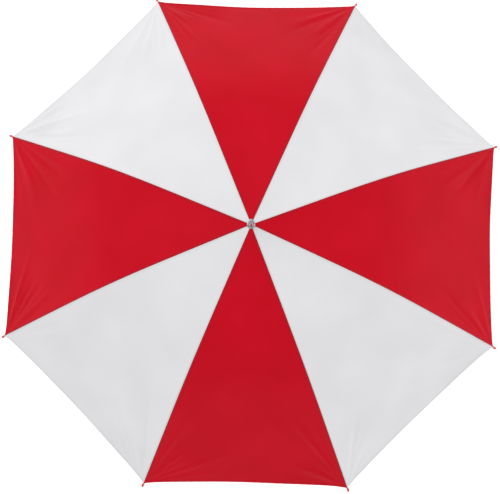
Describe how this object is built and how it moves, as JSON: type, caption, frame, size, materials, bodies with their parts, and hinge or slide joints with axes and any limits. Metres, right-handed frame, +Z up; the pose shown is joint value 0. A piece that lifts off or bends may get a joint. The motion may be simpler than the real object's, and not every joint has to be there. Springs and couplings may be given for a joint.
{
  "type": "golf umbrella",
  "caption": "Open stick umbrella with a large red and white panelled canopy, folding steel frame, metal ferrule and straight foam handle.",
  "frame": {"origin": "middle of the handle's end face", "axes": "+Z up along the shaft from the handle to the ferrule; red panels centred on +X, -X, +Y and -Y; the two catches face -Y"},
  "size_m": [1.221, 1.221, 0.998],
  "materials": {
    "red_canopy": "plain-woven polyester taffeta, satin",
    "white_canopy": "plain-woven polyester taffeta, satin",
    "red_plastic": "injection-moulded, glossy",
    "bright_metal": "turned and plated, bright",
    "black_steel": "rolled steel, black lacquer",
    "spring_steel": "drawn spring wire and strip, bright",
    "black_plastic": "injection-moulded, fine satin",
    "black_foam": "closed-cell foam, matt"
  },
  "bodies": {
    "shaft": {"shaft_tube": "black_steel", "ferrule": "bright_metal", "notch": "black_plastic", "notch_wire": "spring_steel", "stop_pin": "spring_steel", "grip": "black_foam", "grip_cap": "black_plastic"},
    "rib_1": {"inner_rib_1": "black_steel", "white_panel_1_right_half": "white_canopy", "red_panel_8_left_half": "red_canopy"},
    "rib_end_1": {"outer_rib_1": "black_steel", "rib_tip_1": "red_plastic"},
    "stretcher_1": {"stretcher_1": "black_steel"},
    "rib_2": {"inner_rib_2": "black_steel", "red_panel_2_right_half": "red_canopy", "white_panel_1_left_half": "white_canopy", "tie_strap": "red_canopy"},
    "rib_end_2": {"outer_rib_2": "black_steel", "rib_tip_2": "red_plastic"},
    "stretcher_2": {"stretcher_2": "black_steel"},
    "rib_3": {"inner_rib_3": "black_steel", "white_panel_3_right_half": "white_canopy", "red_panel_2_left_half": "red_canopy"},
    "rib_end_3": {"outer_rib_3": "black_steel", "rib_tip_3": "red_plastic"},
    "stretcher_3": {"stretcher_3": "black_steel"},
    "rib_4": {"inner_rib_4": "black_steel", "red_panel_4_right_half": "red_canopy", "white_panel_3_left_half": "white_canopy"},
    "rib_end_4": {"outer_rib_4": "black_steel", "rib_tip_4": "red_plastic"},
    "stretcher_4": {"stretcher_4": "black_steel"},
    "rib_5": {"inner_rib_5": "black_steel", "white_panel_5_right_half": "white_canopy", "red_panel_4_left_half": "red_canopy"},
    "rib_end_5": {"outer_rib_5": "black_steel", "rib_tip_5": "red_plastic"},
    "stretcher_5": {"stretcher_5": "black_steel"},
    "rib_6": {"inner_rib_6": "black_steel", "red_panel_6_right_half": "red_canopy", "white_panel_5_left_half": "white_canopy"},
    "rib_end_6": {"outer_rib_6": "black_steel", "rib_tip_6": "red_plastic"},
    "stretcher_6": {"stretcher_6": "black_steel"},
    "rib_7": {"inner_rib_7": "black_steel", "white_panel_7_right_half": "white_canopy", "red_panel_6_left_half": "red_canopy"},
    "rib_end_7": {"outer_rib_7": "black_steel", "rib_tip_7": "red_plastic"},
    "stretcher_7": {"stretcher_7": "black_steel"},
    "rib_8": {"inner_rib_8": "black_steel", "red_panel_8_right_half": "red_canopy", "white_panel_7_left_half": "white_canopy"},
    "rib_end_8": {"outer_rib_8": "black_steel", "rib_tip_8": "red_plastic"},
    "stretcher_8": {"stretcher_8": "black_steel"},
    "runner": {"runner": "black_plastic", "runner_wire": "spring_steel"},
    "open_catch": {"open_catch": "spring_steel"},
    "closed_catch": {"closed_catch": "spring_steel"}
  },
  "joints": [
    {"name": "fold", "type": "hinge", "parent": "shaft", "child": "rib_1", "pos_m": [0.0097, 0.00402, 0.93], "axis": [-0.3827, 0.9239, 0], "range_deg": [0, 72.54], "deforming": ["white_panel_1_right_half", "red_panel_8_left_half", "red_panel_2_right_half", "white_panel_1_left_half", "tie_strap", "white_panel_3_right_half", "red_panel_2_left_half", "red_panel_4_right_half", "white_panel_3_left_half", "white_panel_5_right_half", "red_panel_4_left_half", "red_panel_6_right_half", "white_panel_5_left_half", "white_panel_7_right_half", "red_panel_6_left_half", "red_panel_8_right_half", "white_panel_7_left_half", "open_catch", "closed_catch"]},
    {"name": "stretcher_1_rivet", "type": "hinge", "parent": "rib_1", "child": "stretcher_1", "pos_m": [0.3025, 0.1253, 0.8453], "axis": [-0.3827, 0.9239, 0], "range_deg": [-146.08, 1]},
    {"name": "rib_1_spring", "type": "hinge", "parent": "rib_1", "child": "rib_end_1", "pos_m": [0.30527, 0.12645, 0.85157], "axis": [-0.3827, 0.9239, 0], "range_deg": [-21, 1]},
    {"name": "rib_2_hinge", "type": "hinge", "parent": "shaft", "child": "rib_2", "pos_m": [0.00402, 0.0097, 0.93], "axis": [-0.9239, 0.3827, 0], "range_deg": [-0.5, 73.04]},
    {"name": "stretcher_2_rivet", "type": "hinge", "parent": "rib_2", "child": "stretcher_2", "pos_m": [0.1253, 0.3025, 0.8453], "axis": [-0.9239, 0.3827, 0], "range_deg": [-146.08, 1]},
    {"name": "rib_2_spring", "type": "hinge", "parent": "rib_2", "child": "rib_end_2", "pos_m": [0.12645, 0.30527, 0.85157], "axis": [-0.9239, 0.3827, 0], "range_deg": [-21, 1]},
    {"name": "rib_3_hinge", "type": "hinge", "parent": "shaft", "child": "rib_3", "pos_m": [-0.00402, 0.0097, 0.93], "axis": [-0.9239, -0.3827, 0], "range_deg": [-0.5, 73.04]},
    {"name": "stretcher_3_rivet", "type": "hinge", "parent": "rib_3", "child": "stretcher_3", "pos_m": [-0.1253, 0.3025, 0.8453], "axis": [-0.9239, -0.3827, 0], "range_deg": [-146.08, 1]},
    {"name": "rib_3_spring", "type": "hinge", "parent": "rib_3", "child": "rib_end_3", "pos_m": [-0.12645, 0.30527, 0.85157], "axis": [-0.9239, -0.3827, 0], "range_deg": [-21, 1]},
    {"name": "rib_4_hinge", "type": "hinge", "parent": "shaft", "child": "rib_4", "pos_m": [-0.0097, 0.00402, 0.93], "axis": [-0.3827, -0.9239, 0], "range_deg": [-0.5, 73.04]},
    {"name": "stretcher_4_rivet", "type": "hinge", "parent": "rib_4", "child": "stretcher_4", "pos_m": [-0.3025, 0.1253, 0.8453], "axis": [-0.3827, -0.9239, 0], "range_deg": [-146.08, 1]},
    {"name": "rib_4_spring", "type": "hinge", "parent": "rib_4", "child": "rib_end_4", "pos_m": [-0.30527, 0.12645, 0.85157], "axis": [-0.3827, -0.9239, 0], "range_deg": [-21, 1]},
    {"name": "rib_5_hinge", "type": "hinge", "parent": "shaft", "child": "rib_5", "pos_m": [-0.0097, -0.00402, 0.93], "axis": [0.3827, -0.9239, 0], "range_deg": [-0.5, 73.04]},
    {"name": "stretcher_5_rivet", "type": "hinge", "parent": "rib_5", "child": "stretcher_5", "pos_m": [-0.3025, -0.1253, 0.8453], "axis": [0.3827, -0.9239, 0], "range_deg": [-146.08, 1]},
    {"name": "rib_5_spring", "type": "hinge", "parent": "rib_5", "child": "rib_end_5", "pos_m": [-0.30527, -0.12645, 0.85157], "axis": [0.3827, -0.9239, 0], "range_deg": [-21, 1]},
    {"name": "rib_6_hinge", "type": "hinge", "parent": "shaft", "child": "rib_6", "pos_m": [-0.00402, -0.0097, 0.93], "axis": [0.9239, -0.3827, 0], "range_deg": [-0.5, 73.04]},
    {"name": "stretcher_6_rivet", "type": "hinge", "parent": "rib_6", "child": "stretcher_6", "pos_m": [-0.1253, -0.3025, 0.8453], "axis": [0.9239, -0.3827, 0], "range_deg": [-146.08, 1]},
    {"name": "rib_6_spring", "type": "hinge", "parent": "rib_6", "child": "rib_end_6", "pos_m": [-0.12645, -0.30527, 0.85157], "axis": [0.9239, -0.3827, 0], "range_deg": [-21, 1]},
    {"name": "rib_7_hinge", "type": "hinge", "parent": "shaft", "child": "rib_7", "pos_m": [0.00402, -0.0097, 0.93], "axis": [0.9239, 0.3827, 0], "range_deg": [-0.5, 73.04]},
    {"name": "stretcher_7_rivet", "type": "hinge", "parent": "rib_7", "child": "stretcher_7", "pos_m": [0.1253, -0.3025, 0.8453], "axis": [0.9239, 0.3827, 0], "range_deg": [-146.08, 1]},
    {"name": "rib_7_spring", "type": "hinge", "parent": "rib_7", "child": "rib_end_7", "pos_m": [0.12645, -0.30527, 0.85157], "axis": [0.9239, 0.3827, 0], "range_deg": [-21, 1]},
    {"name": "rib_8_hinge", "type": "hinge", "parent": "shaft", "child": "rib_8", "pos_m": [0.0097, -0.00402, 0.93], "axis": [0.3827, 0.9239, 0], "range_deg": [-0.5, 73.04]},
    {"name": "stretcher_8_rivet", "type": "hinge", "parent": "rib_8", "child": "stretcher_8", "pos_m": [0.3025, -0.1253, 0.8453], "axis": [0.3827, 0.9239, 0], "range_deg": [-146.08, 1]},
    {"name": "rib_8_spring", "type": "hinge", "parent": "rib_8", "child": "rib_end_8", "pos_m": [0.30527, -0.12645, 0.85157], "axis": [0.3827, 0.9239, 0], "range_deg": [-21, 1]},
    {"name": "runner_hinge", "type": "hinge", "parent": "stretcher_1", "child": "runner", "pos_m": [0.0097, 0.00402, 0.76059], "axis": [-0.3827, 0.9239, 0], "range_deg": [-0.5, 73.04]},
    {"name": "open_catch_press", "type": "hinge", "parent": "shaft", "child": "open_catch", "pos_m": [0, -0.0056, 0.67519], "axis": [-1, 0, 0], "range_deg": [0, 6], "stiffness_Nm_per_rad": 1.5, "springref_deg": -2.86},
    {"name": "closed_catch_press", "type": "hinge", "parent": "shaft", "child": "closed_catch", "pos_m": [0, -0.0056, 0.26092], "axis": [1, 0, 0], "range_deg": [0, 6], "stiffness_Nm_per_rad": 1.5, "springref_deg": -2.86}
  ],
  "couplings": [
    {"joint": "stretcher_1_rivet", "follows": "fold", "ratio": -2},
    {"joint": "rib_1_spring", "follows": "fold", "ratio": -0.2757},
    {"joint": "rib_2_hinge", "follows": "fold", "ratio": 1},
    {"joint": "stretcher_2_rivet", "follows": "fold", "ratio": -2},
    {"joint": "rib_2_spring", "follows": "fold", "ratio": -0.2757},
    {"joint": "rib_3_hinge", "follows": "fold", "ratio": 1},
    {"joint": "stretcher_3_rivet", "follows": "fold", "ratio": -2},
    {"joint": "rib_3_spring", "follows": "fold", "ratio": -0.2757},
    {"joint": "rib_4_hinge", "follows": "fold", "ratio": 1},
    {"joint": "stretcher_4_rivet", "follows": "fold", "ratio": -2},
    {"joint": "rib_4_spring", "follows": "fold", "ratio": -0.2757},
    {"joint": "rib_5_hinge", "follows": "fold", "ratio": 1},
    {"joint": "stretcher_5_rivet", "follows": "fold", "ratio": -2},
    {"joint": "rib_5_spring", "follows": "fold", "ratio": -0.2757},
    {"joint": "rib_6_hinge", "follows": "fold", "ratio": 1},
    {"joint": "stretcher_6_rivet", "follows": "fold", "ratio": -2},
    {"joint": "rib_6_spring", "follows": "fold", "ratio": -0.2757},
    {"joint": "rib_7_hinge", "follows": "fold", "ratio": 1},
    {"joint": "stretcher_7_rivet", "follows": "fold", "ratio": -2},
    {"joint": "rib_7_spring", "follows": "fold", "ratio": -0.2757},
    {"joint": "rib_8_hinge", "follows": "fold", "ratio": 1},
    {"joint": "stretcher_8_rivet", "follows": "fold", "ratio": -2},
    {"joint": "rib_8_spring", "follows": "fold", "ratio": -0.2757},
    {"joint": "runner_hinge", "follows": "fold", "ratio": 1}
  ]
}
